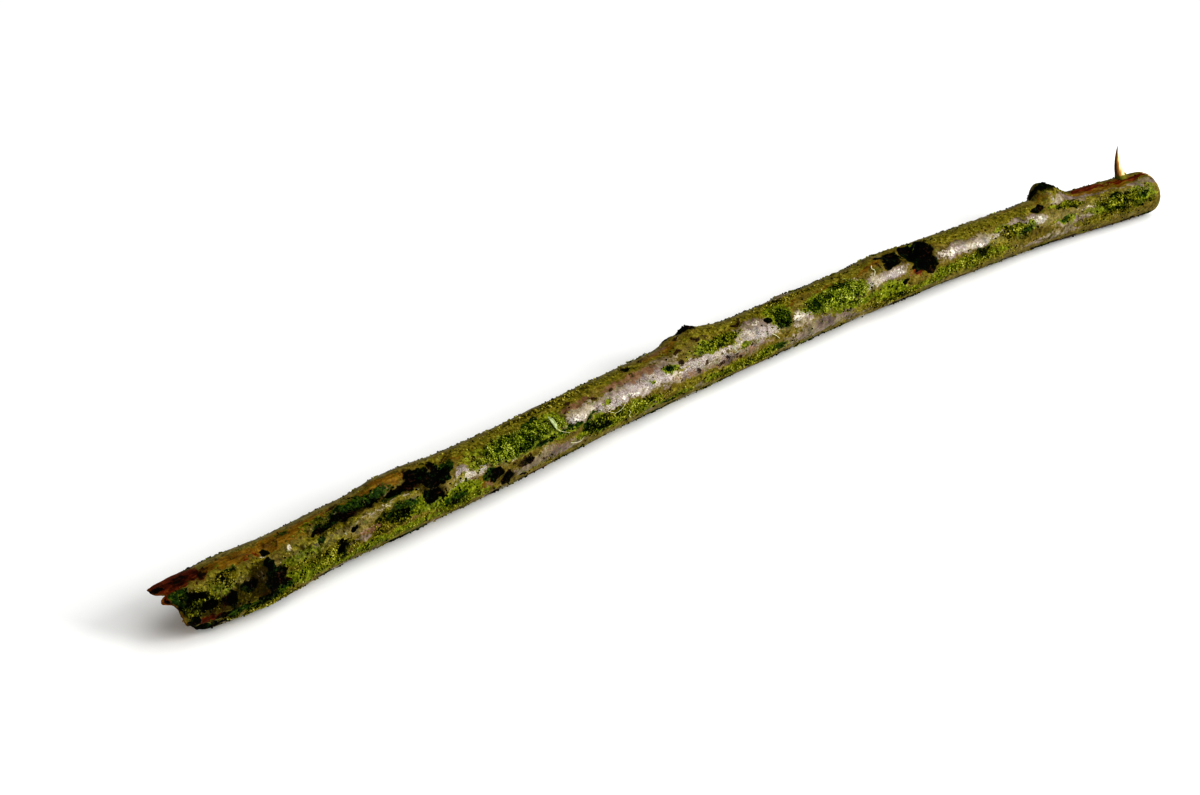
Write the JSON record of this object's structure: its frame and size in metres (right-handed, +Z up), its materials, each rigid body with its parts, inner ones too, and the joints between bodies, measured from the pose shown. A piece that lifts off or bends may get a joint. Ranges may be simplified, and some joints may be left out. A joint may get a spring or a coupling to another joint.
{
  "type": "twig with lichen",
  "caption": "Broken piece of twig lying flat, with a splintered end, a bud knob, leaf scars, and crusts of lichen and moss on its bark.",
  "frame": {"origin": "on the floor under the middle of the twig's bounding box", "axes": "+X along the twig from its splintered end to its rounded end, +Z up"},
  "size_m": [0.211, 0.0159, 0.0144],
  "materials": {
    "bark": "satin",
    "lichen": "matte",
    "moss": "matte"
  },
  "bodies": {
    "root": {"twig": "bark", "lichen_near_end": "lichen", "lichen_near_flank": "lichen", "lichen_near_underedge": "lichen", "lichen_near_side": "lichen", "lichen_below_groove": "lichen", "lichen_low_node": "lichen", "lichen_top_edge": "lichen", "lichen_granular_band": "lichen", "lichen_on_node": "lichen", "lichen_top_node": "lichen", "lichen_low_middle": "lichen", "lichen_below_scar": "lichen", "lichen_far_band": "lichen", "lichen_under_bud": "lichen", "lichen_past_bud": "lichen", "lichen_far_end": "lichen", "lichen_back_near": "lichen", "lichen_back_far": "lichen", "lichen_back_end": "lichen", "moss_middle": "moss", "moss_dark_tuft": "moss", "moss_far": "moss", "moss_back_middle": "moss"}
  },
  "joints": []
}
